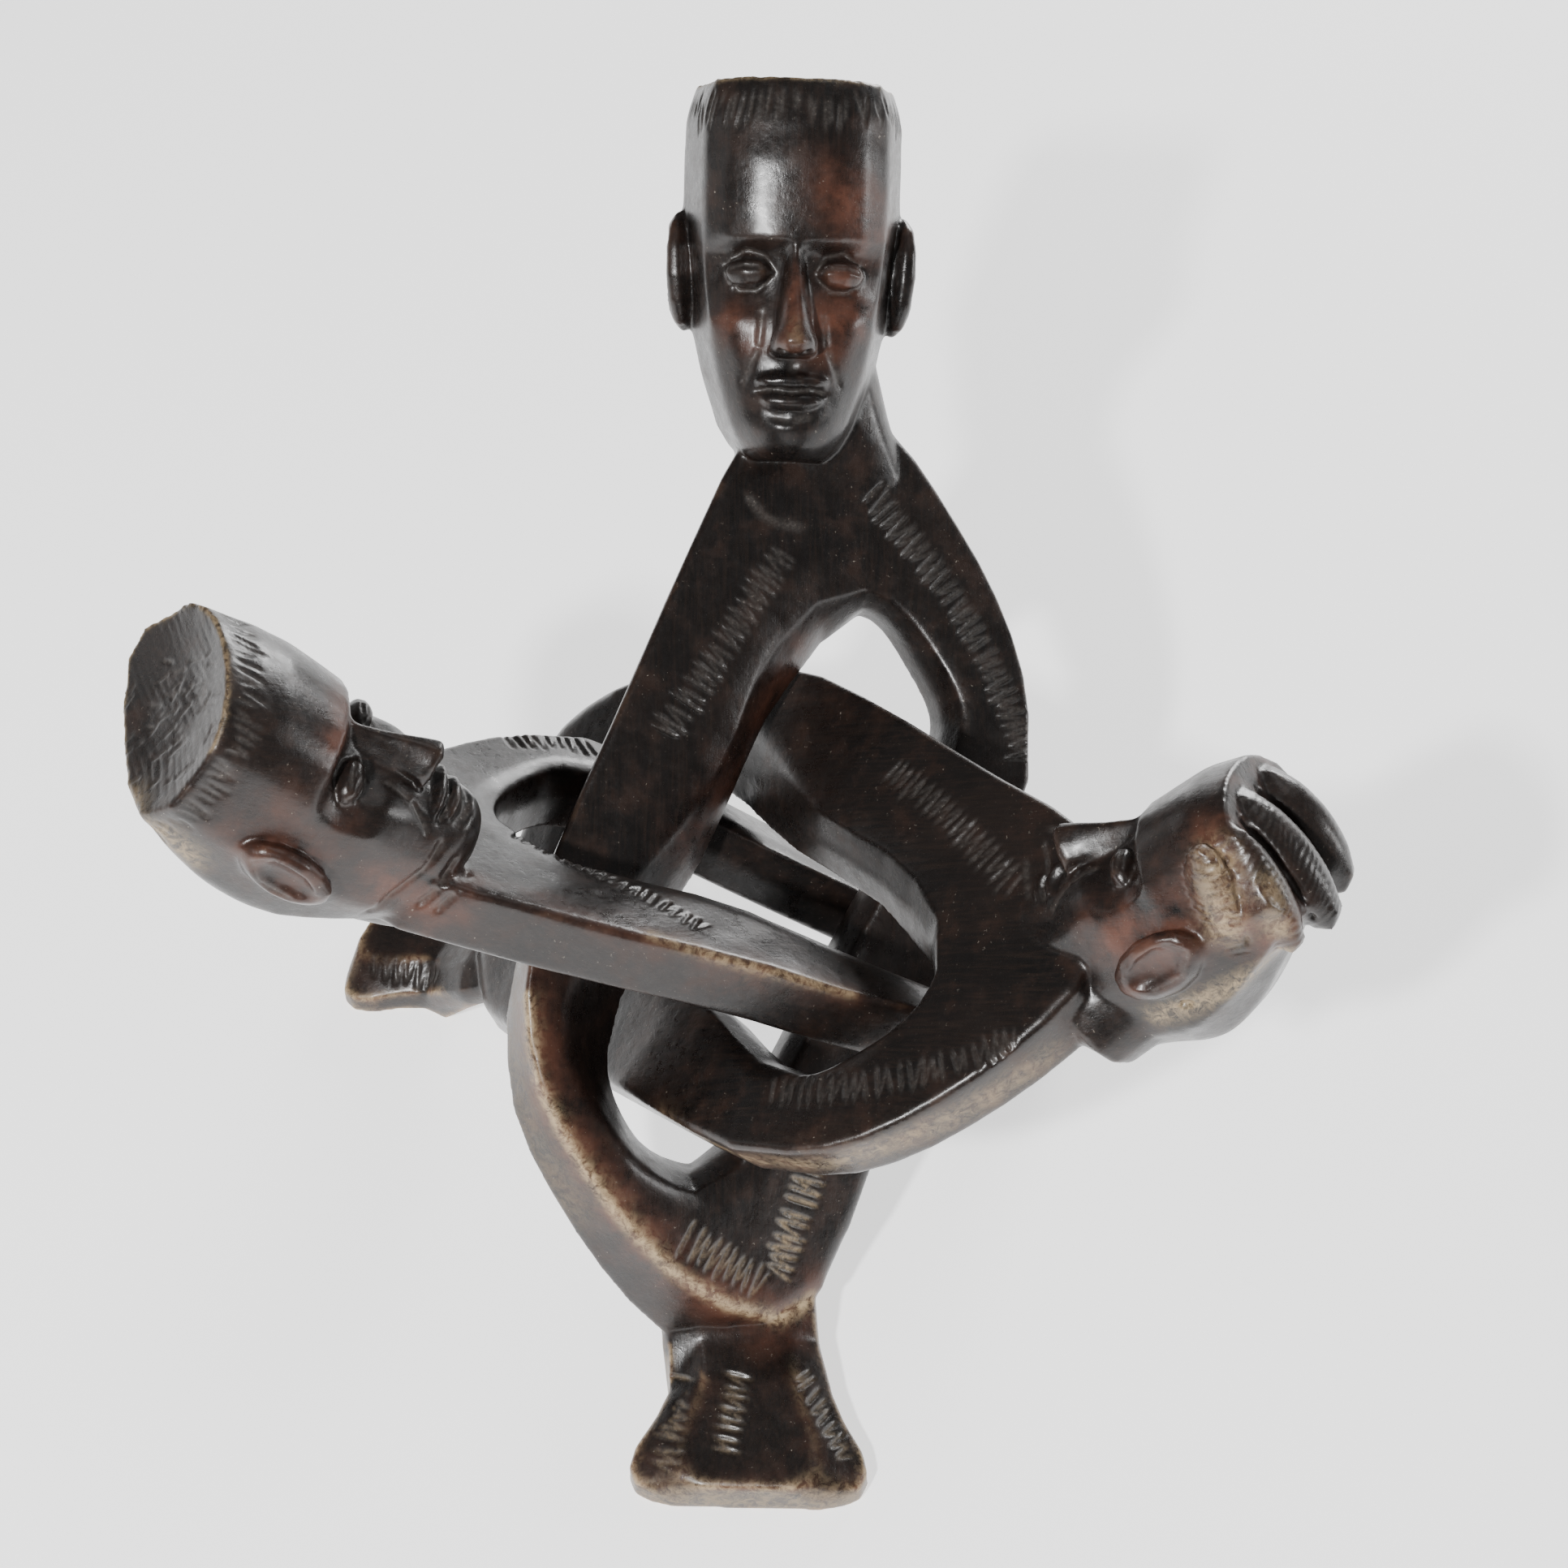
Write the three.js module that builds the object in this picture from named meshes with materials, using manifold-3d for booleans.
// Interlocking three-figure carved wooden stand.
// Three carved figures, each a head on a slotted two-bar body with one flared foot, pass through one another
// and stand together as a tripod. Millimetres, +Z up, ground at Z = 0, the near figure's foot towards -Y.
import * as THREE from "three";
import { mergeVertices } from "three/addons/utils/BufferGeometryUtils.js";
import Module from "manifold-3d";

const wasm = await Module();
wasm.setup();

// Body plate, shared by the three figures
const THICKNESS = 18.8; // plate thickness of the bars
const NECK_Y = 106; // top of the shoulders above the plate centre
const LEDGE_Y = -141; // curved lip above the ankle
const APEX = { x: 18, y: 59 }; // upper end of the slot
const SLOT_END = { x: -29, y: -106 }; // lower end of the slot
const RING_STATIONS = 10; // stations between two anchors of the outline
const ROUNDING = 1.4; // worn corners of the plate

// Lengthwise profile of a body: how far the plate bows forward at each height
const BOW = [
  [-190, -28],
  [-130, -16],
  [-50, 0],
  [5, 6.4],
  [60, 0],
  [140, -5],
];
const TWIST = { foot: -0.22, head: -0.06 }; // sideways slope of the plate at its two ends

// Head: overall height from chin to flat crown, and the heights of its features as shares of it
const HEAD = { height: 101, width: 61 };
const FEATURE = { mouth: 0.19, noseBase: 0.287, eyes: 0.5, brow: 0.58, hairline: 0.89 };
const EAR = { low: 0.34, high: 0.67, reach: 9.5, stand: 5, forward: 1, turns: [6, 16, -4] };

const rad = THREE.MathUtils.degToRad;
const v2 = (x, y) => new THREE.Vector2(x, y);
const v3 = (x, y, z) => new THREE.Vector3(x, y, z);

// A smooth open line through knots [x, y, tangent x, tangent y], cut into n equal steps.
function smoothLine(knots, n) {
  const path = new THREE.CurvePath();
  for (let i = 0; i + 1 < knots.length; i++) {
    const [x0, y0, u0, w0] = knots[i];
    const [x1, y1, u1, w1] = knots[i + 1];
    const a = v2(x0, y0);
    const b = v2(x1, y1);
    const reach = a.distanceTo(b) / 3;
    const ta = v2(u0, w0).setLength(reach);
    const tb = v2(u1, w1).setLength(reach);
    path.add(new THREE.CubicBezierCurve(a, a.clone().add(ta), b.clone().sub(tb), b));
  }
  return path.getSpacedPoints(n);
}

// A closed outline made of four smooth lines that meet at the top, right, bottom and left anchors.
function outline(quarters) {
  return quarters.flatMap((knots) => smoothLine(knots, RING_STATIONS).slice(0, -1));
}

function bow(y, bend = [0, 0, 0]) {
  // bend adds a lift at the foot end, at the middle and at the head end
  const [foot, middle, top] = bend;
  const extra = y < 0 ? foot * (y / 130) ** 2 : top * (y / 130) ** 2;
  return restBow(y) + extra + middle * Math.exp(-((y / 55) ** 2));
}

function restBow(y) {
  const last = BOW.length - 1;
  let i = 0;
  while (i < last - 1 && y > BOW[i + 1][0]) i++;
  const [y0, z0] = BOW[i];
  const [y1, z1] = BOW[i + 1];
  const slope = (k) => {
    const a = BOW[Math.max(k - 1, 0)];
    const b = BOW[Math.min(k + 1, last)];
    return (b[1] - a[1]) / (b[0] - a[0]);
  };
  const t = (y - y0) / (y1 - y0);
  const h = y1 - y0;
  return (
    (2 * t ** 3 - 3 * t ** 2 + 1) * z0 +
    (t ** 3 - 2 * t ** 2 + t) * h * slope(i) +
    (-2 * t ** 3 + 3 * t ** 2) * z1 +
    (t ** 3 - t ** 2) * h * slope(i + 1)
  );
}

// Height of the middle of the plate above its frame at a place x, y.
function surface(x, y, bend) {
  const twist = y < 0 ? TWIST.foot * Math.min(-y / 110, 1.2) : TWIST.head * Math.min(y / 130, 1.2);
  return bow(y, bend) + twist * x;
}

// Each figure's body is a little longer or shorter than the shared plate, above and below its middle.
function lengthen(f, y) {
  return y * (y > 0 ? f.upper : f.lower);
}

// Turns a list of equal-length rings of points into one closed surface.
function skin(rings, looped) {
  const n = rings[0].length;
  const points = rings.flat();
  const index = [];
  const count = rings.length;
  for (let i = 0; i < (looped ? count : count - 1); i++) {
    for (let j = 0; j < n; j++) {
      const a = i * n + j;
      const b = i * n + ((j + 1) % n);
      const c = ((i + 1) % count) * n + j;
      const d = ((i + 1) % count) * n + ((j + 1) % n);
      index.push(a, b, d, a, d, c);
    }
  }
  if (!looped) {
    const flat = (k) => {
      const middle = points.length;
      points.push(rings[k].reduce((s, p) => s.add(p), v3(0, 0, 0)).divideScalar(n));
      for (let j = 0; j < n; j++) {
        const a = k * n + j;
        const b = k * n + ((j + 1) % n);
        if (k === 0) index.push(middle, b, a);
        else index.push(middle, a, b);
      }
    };
    flat(0);
    flat(count - 1);
  }
  return { points, index };
}

function solid({ points, index }) {
  const geometry = new THREE.BufferGeometry().setFromPoints(points);
  geometry.setIndex(index);
  const merged = mergeVertices(geometry, 1e-4);
  const make = (triVerts) =>
    new wasm.Manifold(
      new wasm.Mesh({ numProp: 3, vertProperties: new Float32Array(merged.attributes.position.array), triVerts }),
    );
  const tris = new Uint32Array(merged.index.array);
  const made = make(tris);
  if (made.volume() > 0) return made;
  for (let i = 0; i < tris.length; i += 3) [tris[i + 1], tris[i + 2]] = [tris[i + 2], tris[i + 1]];
  return make(tris);
}

// The slotted body in the figure's own frame: x to the right, y towards the head, z out of the front.
// Its section at each station of the outline runs from the inner front edge outwards and round the back.
function body(f) {
  const h = THICKNESS / 2;
  const Y = (y) => lengthen(f, y);
  const K = (x, y, u, w) => [x, Y(y), u, w];
  const { belly, hip } = f;
  const top = K(3, NECK_Y + 4, 1, 0);
  const tip = K(-4, LEDGE_Y, -1, 0);
  const side = K(66, 27, 0, -1);
  const full = K(belly.front[0], belly.front[1], 0.03, 1);
  const frontOuter = outline([
    [top, K(28, 105, 0.7, -0.71), K(48, 78, 0.55, -0.83), side],
    [side, K(63, -1, -0.36, -0.93), K(24, -102, -0.36, -0.93), K(9, -136, -0.8, -0.6), tip],
    [tip, K(hip.heel, -128, -0.82, 0.57), K(hip.front[0], hip.front[1], -0.55, 0.83), full],
    [full, K(-68, -9, 0.41, 0.91), K(-24, 90, 0.42, 0.91), K(-16, 104, 0.7, 0.7), top],
  ]);
  const backTip = K(-8, -152, -1, 0);
  const backFull = K(belly.back[0], belly.back[1], 0.03, 1);
  const backSide = K(64, 27, 0, -1);
  const backOuter = outline([
    [top, K(27, 105, 0.7, -0.71), K(46, 78, 0.55, -0.83), backSide],
    [backSide, K(61, -1, -0.36, -0.93), K(25, -102, -0.36, -0.93), K(14, -138, -0.3, -0.95), backTip],
    [backTip, K(hip.heel - 4, -142, -0.75, 0.66), K(hip.back[0], hip.back[1], -0.5, 0.87), backFull],
    [backFull, K(-63, -7, 0.4, 0.92), K(-18, 93, 0.42, 0.91), K(-12, 104, 0.7, 0.7), top],
  ]);
  const apex = K(APEX.x, APEX.y, 1, -0.1);
  const end = K(SLOT_END.x, SLOT_END.y, -1, 0.15);
  const bend = K(45.5, 24, 0, -1);
  const low = K(hip.slot, -60, 0.05, 1);
  const frontInner = outline([
    [apex, K(37, 44, 0.55, -0.83), bend],
    [bend, K(25, -20, -0.47, -0.88), K(-15, -97, -0.47, -0.88), end],
    [end, K(hip.slot + 13, -89, -0.6, 0.8), low],
    [low, K(-46, -23, 0.6, 0.8), K(-23, 10, 0.42, 0.91), K(-9, 41, 0.6, 0.8), apex],
  ]);
  const backApex = K(21, 55, 1, -0.1);
  const backEnd = K(-26, -99, -1, 0.1);
  const backBend = K(41.5, 24, 0, -1);
  const backLow = K(hip.slot + 16, -70, 0.05, 1);
  const backInner = outline([
    [backApex, K(34, 42, 0.5, -0.87), backBend],
    [backBend, K(21, -22, -0.47, -0.88), K(-15, -91, -0.47, -0.88), backEnd],
    [backEnd, K(hip.slot + 24, -91, -0.6, 0.8), backLow],
    [backLow, K(-25, -16, 0.45, 0.9), K(-6, 25, 0.5, 0.87), K(7, 42, 0.6, 0.8), backApex],
  ]);
  const at = (p, z) => {
    const x = p.x * (p.x > 0 ? f.broad : f.left);
    return v3(x, p.y, z + surface(x, p.y, f.bend));
  };
  const mix = (a, b, t) => a.clone().lerp(b, t);
  const rings = frontOuter.map((fo, i) => {
    const bo = backOuter[i];
    const fi = frontInner[i];
    const bi = backInner[i];
    const hollow = fo.clone().sub(fi).setLength(1.2);
    return [
      at(mix(fi, fo, 0.02), h - ROUNDING),
      at(mix(fi, fo, 0.2), h),
      at(mix(fo, fi, 0.05), h),
      at(mix(fo, bo, 0.08), h - ROUNDING),
      at(mix(bo, fo, 0.08), -h + ROUNDING),
      at(mix(bo, bi, 0.06), -h),
      at(mix(bi, bo, 0.15), -h),
      at(bi, -h + ROUNDING),
      at(mix(fi, bi, 0.45).sub(hollow), 0.5),
    ];
  });
  return skin(rings, true);
}

// A closed superellipse section: half widths across and fore-and-aft, roundness, in a plane set by origin and axes.
function section(origin, across, fore, w, front, back, power, n) {
  const ring = [];
  for (let i = 0; i < n; i++) {
    const a = (2 * Math.PI * i) / n;
    const c = Math.cos(a);
    const s = Math.sin(a);
    const r = (Math.abs(c) ** power + Math.abs(s) ** power) ** (-1 / power);
    const d = s > 0 ? front : back;
    ring.push(origin.clone().addScaledVector(across, w * r * c).addScaledVector(fore, d * r * s));
  }
  return ring;
}

// Frame of a figure's plate: azimuth of its head, slope, roll about its own length, and centre.
function frame({ azimuth, slope, roll, centre }) {
  const flat = v3(Math.cos(rad(azimuth)), Math.sin(rad(azimuth)), 0);
  const up = v3(0, 0, 1);
  const d = flat.clone().multiplyScalar(Math.cos(rad(slope))).addScaledVector(up, Math.sin(rad(slope)));
  const s0 = flat.clone().cross(up);
  const n0 = s0.clone().cross(d);
  const c = Math.cos(rad(roll));
  const t = Math.sin(rad(roll));
  const s = s0.clone().multiplyScalar(c).addScaledVector(n0, -t);
  const n = n0.clone().multiplyScalar(c).addScaledVector(s0, t);
  return new THREE.Matrix4().makeBasis(s, d, n).setPosition(v3(...centre));
}

// Frame of a head: its place at chin height on the plate, how far it leans forward, tilts and turns.
function headFrame(plate, { pivot, lean, turn, tilt, size }) {
  const steps = [
    new THREE.Matrix4().makeTranslation(...pivot),
    new THREE.Matrix4().makeRotationX(rad(lean)),
    new THREE.Matrix4().makeRotationZ(rad(tilt)),
    new THREE.Matrix4().makeRotationY(rad(turn)),
    new THREE.Matrix4().makeScale(...size),
  ];
  return steps.reduce((m, step) => m.multiply(step), plate.clone());
}

const moved = (m, { points, index }) => ({ points: points.map((p) => p.clone().applyMatrix4(m)), index });

// Value of a smooth table [place, value, value...] at a place, by straight steps.
function along(table, place, column = 1) {
  let i = 1;
  while (i < table.length - 1 && place > table[i][0]) i++;
  const [p0, p1] = [table[i - 1][0], table[i][0]];
  const t = Math.min(Math.max((place - p0) / (p1 - p0), 0), 1);
  return table[i - 1][column] * (1 - t) + table[i][column] * t;
}

const hill = (d, reach) => Math.exp(-((d / reach) ** 2));
const step = (d, reach) => 1 / (1 + Math.exp(-d / reach));

// Skull: share of the height, half width, depth in front of and behind its axis
const SKULL = [
  [0.0, 12, 22, 0],
  [0.03, 15.5, 25.5, 5],
  [0.08, 19, 27.5, 10],
  [0.2, 23.5, 28, 18],
  [0.3, 26, 28, 25],
  [0.4, 28, 28, 31],
  [0.5, 29.4, 28.5, 33],
  [0.6, 30.2, 30.5, 34],
  [0.7, 30.5, 31.5, 33],
  [0.8, 30.5, 31.5, 29.5],
  [0.9, 30, 29.5, 24],
  [0.95, 28.8, 28, 21.5],
  [1.05, 24.5, 25, 17],
];

// Height of the carved face over the skull, x to the right and y up from the chin, both in millimetres:
// deep sockets under a brow ledge, soft cheeks with a hollow below them, and a rounded chin.
function faceRelief(x, y) {
  const H = HEAD.height;
  const a = Math.abs(x);
  const brow = FEATURE.brow * H;
  const socket = -5 * step(brow - y, 0.6) * hill(a - 13, 11) * step(y - FEATURE.eyes * H + 8, 2.4);
  const ledge = 1.8 * hill(y - brow - 2, 3) * hill(a - 10, 14);
  const cheek = 1.8 * hill(a - 19, 7) * hill(y - 0.36 * H, 8) - 1.8 * hill(a - 17, 6) * hill(y - 0.2 * H, 8);
  const chin = 2.6 * hill(y - 0.07 * H, 5) * hill(a, 9) - 1.2 * hill(y - 0.125 * H, 2.5) * hill(a, 9);
  return socket + ledge + cheek + chin;
}

// Rows of the head grid from the chin up; columns from the middle of the face round to the nape
const HEAD_ROWS = [0, 0.035, 0.09, 0.15, 0.22, 0.29, 0.37, 0.44, 0.5, 0.555, 0.588, 0.66, 0.8];
const FACE_COLUMNS = [0, 0.19, 0.4, 0.6, 0.82, 1];
const NAPE_COLUMNS = [0.84, 0.42];

// Nose: height up the face, half width, how far its ridge stands before the skull's axis
const NOSE = [
  [0.61, 2.6, 31],
  [0.545, 2.9, 31.5],
  [0.46, 3.6, 34.5],
  [0.37, 5, 38.5],
  [0.315, 6.9, 40.5],
  [0.29, 6.9, 38.5],
  [0.278, 5, 33],
];

// Head in its own frame: x to the right of the face, y from the chin to the crown, z forward.
function head(f) {
  const H = HEAD.height;
  const power = 2.35;
  const arc = (s) => (1 - Math.min(Math.abs(s), 1) ** power) ** (1 / power);
  const right = [...FACE_COLUMNS.map((s) => [s, 1]), ...NAPE_COLUMNS.map((s) => [s, -1])];
  const columns = [...right, [0, -1], ...right.slice(1).reverse().map(([s, side]) => [-s, side])];
  const rings = [...HEAD_ROWS, ...f.head.rows].map((v) => {
    const w = along(SKULL, v, 1);
    const front = along(SKULL, v, 2);
    const slim = 1 - f.head.taper * Math.max(0, v - 0.4);
    const back = along(SKULL, v, 3) * slim + f.head.nape * hill(v - 0.12, 0.16);
    return columns.map(([s, side]) => {
      const hair = f.head.cap * step(v - FEATURE.hairline, 0.004);
      let z = side > 0 ? front * arc(s) : -back * arc(s);
      if (side > 0) z += faceRelief(s * w, v * H) * step(arc(s) - 0.45, 0.05);
      return v3(s * (w + hair), v * H, z + hair * side * arc(s));
    });
  });
  const [across, fore] = [v3(1, 0, 0), v3(0, 0, 1)];
  const nose = NOSE.map(([v, a, z]) => section(v3(0, v * H, z - 9), across, fore, a, 9, 4, 1.7, 10));
  const parts = [solid(skin(rings, false)), solid(skin(nose, false))];
  parts.push(pebble([0, FEATURE.mouth * H + 2.2, 27], [10.5, 2.7, 3.8], [-12, 0, 0], 4, 10));
  parts.push(pebble([0, FEATURE.mouth * H - 2.7, 27], [9, 2.9, 3.8], [12, 0, 0], 4, 10));
  for (const side of [-1, 1]) {
    const eye = [side * 12.6, FEATURE.eyes * H, 23.6];
    parts.push(pebble(eye, [7.4, 4.3, 4.4], [4, side * 17, side * -4], 4, 8));
    parts.push(ear(side));
  }
  const made = wasm.Manifold.union(parts);
  return f.head.style === "lobes" ? lobedHair(made) : flatCrown(made, f.head.slant);
}

// A rounded pebble: centre, three half sizes, and turns about x, y and z in degrees.
function pebble(centre, radii, turns, rows = 7, n = 12) {
  const m = new THREE.Matrix4()
    .makeRotationFromEuler(new THREE.Euler(...turns.map(rad), "XYZ"))
    .setPosition(v3(...centre));
  const rings = [];
  for (let i = 0; i <= rows; i++) {
    const a = Math.PI * (0.035 + (0.93 * i) / rows) - Math.PI / 2;
    const r = Math.cos(a);
    rings.push(
      Array.from({ length: n }, (_, j) => {
        const b = (2 * Math.PI * j) / n;
        return v3(radii[0] * r * Math.cos(b), radii[1] * Math.sin(a), radii[2] * r * Math.sin(b)).applyMatrix4(m);
      }),
    );
  }
  return solid(skin(rings, false));
}

// One ear: a standing rim round a hollow, flared a little to the back.
function ear(side) {
  const H = HEAD.height;
  const middle = ((EAR.low + EAR.high) / 2) * H;
  const tall = ((EAR.high - EAR.low) / 2) * H;
  const w = HEAD.width / 2;
  const turns = [EAR.turns[0], side * EAR.turns[1], side * EAR.turns[2]];
  const outside = [side * (w + EAR.stand - 0.6), middle + 1, EAR.forward + 0.6];
  const rim = pebble([side * (w - 0.5), middle, EAR.forward], [EAR.stand, tall, EAR.reach], turns, 6, 10);
  return rim.subtract(pebble(outside, [4.6, tall - 4.2, 6], turns, 5, 8));
}

// A crown cut flat and slightly hollow, like a shallow dish, level or slanting sideways by some degrees.
function flatCrown(made, slant) {
  const dish = [12, 24, 36, 40].map((r, i) => {
    const y = i < 3 ? 3.4 * (r / 27) ** 2 - 2.6 : 30;
    return section(v3(0, y, 3), v3(1, 0, 0), v3(0, 0, 1), r, r * 0.85, r * 0.85, 2, 16);
  });
  return made.subtract(solid(skin(dish, false)).rotate(0, 0, slant).translate(0, HEAD.height, 0));
}

// Hair in long swellings from the brow over the crown to the nape, with deep partings between them.
function lobedHair(made) {
  const H = HEAD.height;
  const lobes = [
    // centre, half sizes, turns
    [[5, 0.9 * H, 3], [10, 10, 23], [2, 0, 0]],
    [[-13, 0.9 * H, 3], [9.5, 11, 21], [2, 0, 12]],
    [[20, 0.87 * H, 3], [7, 9.5, 20], [-11, 3, -22]],
    [[25.5, 0.77 * H, 7], [5.8, 8.5, 18], [-26, 8, -14]],
  ];
  return lobes.reduce((all, [centre, radii, turns]) => all.add(pebble(centre, radii, turns, 6, 10)), made);
}

// Foot, from the ankle to the toe: distance behind the toe, half width and height of its top.
const FOOT_RINGS = [
  [30, 22.5, 17.2],
  [22, 26, 16],
  [14, 31, 14.6],
  [8, 32.5, 13.8],
  [3.5, 30.5, 13.4],
  [1.2, 26, 13],
  [0, 20, 12.2],
];

// Neck: share of the way from the shoulders to the jaw, half width, half depth
const NECK = [
  [0, 24, 9],
  [0.3, 23, 11],
  [0.65, 22.5, 14],
  [1, 22, 16],
];

function figure(f) {
  const plate = frame(f);
  const crown = headFrame(plate, f.head);
  const axes = (m) => [v3(), v3(), v3()].map((a, i) => a.setFromMatrixColumn(m, i));
  const [s, d, n] = axes(plate);
  const [hx, , hz] = axes(crown);
  let made = solid(moved(plate, body(f)));

  // neck, from inside the shoulders to inside the skull
  const base = v3(f.neck, 84 * f.upper, surface(f.neck, 84, f.bend)).applyMatrix4(plate);
  const seat = v3(7, HEAD.height * 0.14, -6).applyMatrix4(crown);
  const inside = v3(3, HEAD.height * 0.4, -6).applyMatrix4(crown);
  const neck = NECK.map(([t, w, depth]) => {
    const across = s.clone().lerp(hx, t).normalize();
    const fore = n.clone().lerp(hz, t).normalize();
    return section(base.clone().lerp(seat, t), across, fore, w * f.head.size[0], depth, depth, 2.5, 18);
  });
  neck.push(section(inside, hx, hz, 19 * f.head.size[0], 16, 16, 2.4, 18));
  made = made.add(solid(skin(neck, false)));

  // ankle and foot, set flat on the ground
  const { azimuth, toe, ankle, size } = f.foot;
  const out = v3(Math.cos(rad(azimuth)), Math.sin(rad(azimuth)), 0);
  const wide = out.clone().cross(v3(0, 0, -1));
  const up = v3(0, 0, 1);
  const joint = (x, y, lift, w, depth, t) =>
    section(
      v3(x, y * f.lower, surface(x, y * f.lower, f.bend) + lift).applyMatrix4(plate),
      s.clone().lerp(wide, t).normalize(),
      n.clone().lerp(up, t).normalize(),
      w,
      depth,
      depth,
      3,
      12,
    );
  const rings = [joint(-12, -122, -3, ankle, 5.5, 0), joint(-9, -149, -1.5, ankle, 8.5, 0.5)];
  for (const [back, w, top] of FOOT_RINGS) {
    const middle = v3(...toe, (top * size) / 2 - 8).addScaledVector(out, -back * size);
    rings.push(section(middle, wide, up, w * size, (top * size) / 2 + 8, (top * size) / 2 + 8, 5, 12));
  }
  made = made.add(solid(skin(rings, false)));
  made = made.add(head(f).transform(crown.toArray()));

  // the sole is cut level with the ground
  const slab = new THREE.BoxGeometry(900, 900, 100).translate(0, 0, -50);
  return made.subtract(solid({ points: pointsOf(slab), index: [...slab.index.array] }));
}

function pointsOf(geometry) {
  const p = geometry.attributes.position;
  return Array.from({ length: p.count }, (_, i) => v3().fromBufferAttribute(p, i));
}

const FIGURES = {
  far_head_figure: {
    azimuth: 89.5,
    slope: 33.4,
    roll: 18.1,
    centre: [-0.4, -10.2, 104.1],
    bend: [1.0, -2.6, 1.0],
    upper: 1,
    lower: 1,
    broad: 1,
    left: 1,
    belly: { front: [-79, -54], back: [-80.5, -60] },
    hip: { front: [-66, -94], back: [-74, -96], slot: -67, heel: -34 },
    neck: 11,
    head: {
      pivot: [-3.5, 97, -2], lean: 14, turn: -14, tilt: 3, size: [1, 1, 1],
      style: "flat", slant: 0, taper: 0, nape: 0, cap: 0.8, rows: [0.885, 0.895, 0.95, 1.05],
    },
    foot: { azimuth: -91.5, toe: [-13.4, -170.5], ankle: 22, size: 1 },
  },
  right_head_figure: {
    azimuth: -21.5,
    slope: 30.7,
    roll: 12.1,
    centre: [2.7, -50.6, 99.4],
    bend: [0.1, -2.1, 0.4],
    upper: 0.86,
    lower: 0.9,
    broad: 1.1,
    left: 1.1,
    belly: { front: [-74, -72], back: [-82, -90] },
    hip: { front: [-61, -120], back: [-79, -125], slot: -67, heel: -34 },
    neck: 4,
    head: {
      pivot: [12, 75, -17.5], lean: 14, turn: -29, tilt: 18, size: [0.92, 0.8, 0.95],
      style: "lobes", slant: 0, taper: 1.1, nape: 8, cap: 0, rows: [0.92],
    },
    foot: { azimuth: 157, toe: [-130, 23], ankle: 17.5, size: 0.9 },
  },
  left_head_figure: {
    azimuth: 205.2,
    slope: 34.8,
    roll: 11.6,
    centre: [-30.4, -42.2, 104.6],
    bend: [0.2, -1.6, 0.2],
    upper: 0.94,
    lower: 0.98,
    broad: 0.88,
    left: 1,
    belly: { front: [-79, -54], back: [-80.5, -60] },
    hip: { front: [-60, -94], back: [-64, -96], slot: -67, heel: -26 },
    neck: 2,
    head: {
      pivot: [-0.2, 83.6, -2.5], lean: 18, turn: -25, tilt: -18, size: [0.92, 0.8, 0.94],
      style: "flat", slant: 20, taper: 0.4, nape: 0, cap: 0.8, rows: [0.885, 0.895, 0.95, 1.16],
    },
    foot: { azimuth: 34, toe: [99, 28], ankle: 16, size: 0.72 },
  },
};

const WOOD = { color: 0x2a201d, roughness: 0.38, metalness: 0 };

function toMesh(name, made) {
  const { vertProperties, triVerts, numProp } = made.getMesh();
  const geometry = new THREE.BufferGeometry();
  const xyz = new Float32Array((vertProperties.length / numProp) * 3);
  for (let i = 0; i < xyz.length / 3; i++) xyz.set(vertProperties.subarray(i * numProp, i * numProp + 3), i * 3);
  geometry.setAttribute("position", new THREE.BufferAttribute(xyz, 3));
  geometry.setIndex(new THREE.BufferAttribute(new Uint32Array(triVerts), 1));
  geometry.computeVertexNormals();
  const mesh = new THREE.Mesh(geometry, new THREE.MeshStandardMaterial(WOOD));
  mesh.name = name;
  return mesh;
}

// The three figures, moved together so that the middle of their ground rectangle is the origin.
const carvings = new THREE.Group();
for (const [name, f] of Object.entries(FIGURES)) carvings.add(toMesh(name, figure(f)));
const sculpture = new THREE.Group();
sculpture.add(carvings);
const middle = new THREE.Box3().setFromObject(carvings).getCenter(new THREE.Vector3());
carvings.position.set(-middle.x, -middle.y, 0);

export default sculpture;
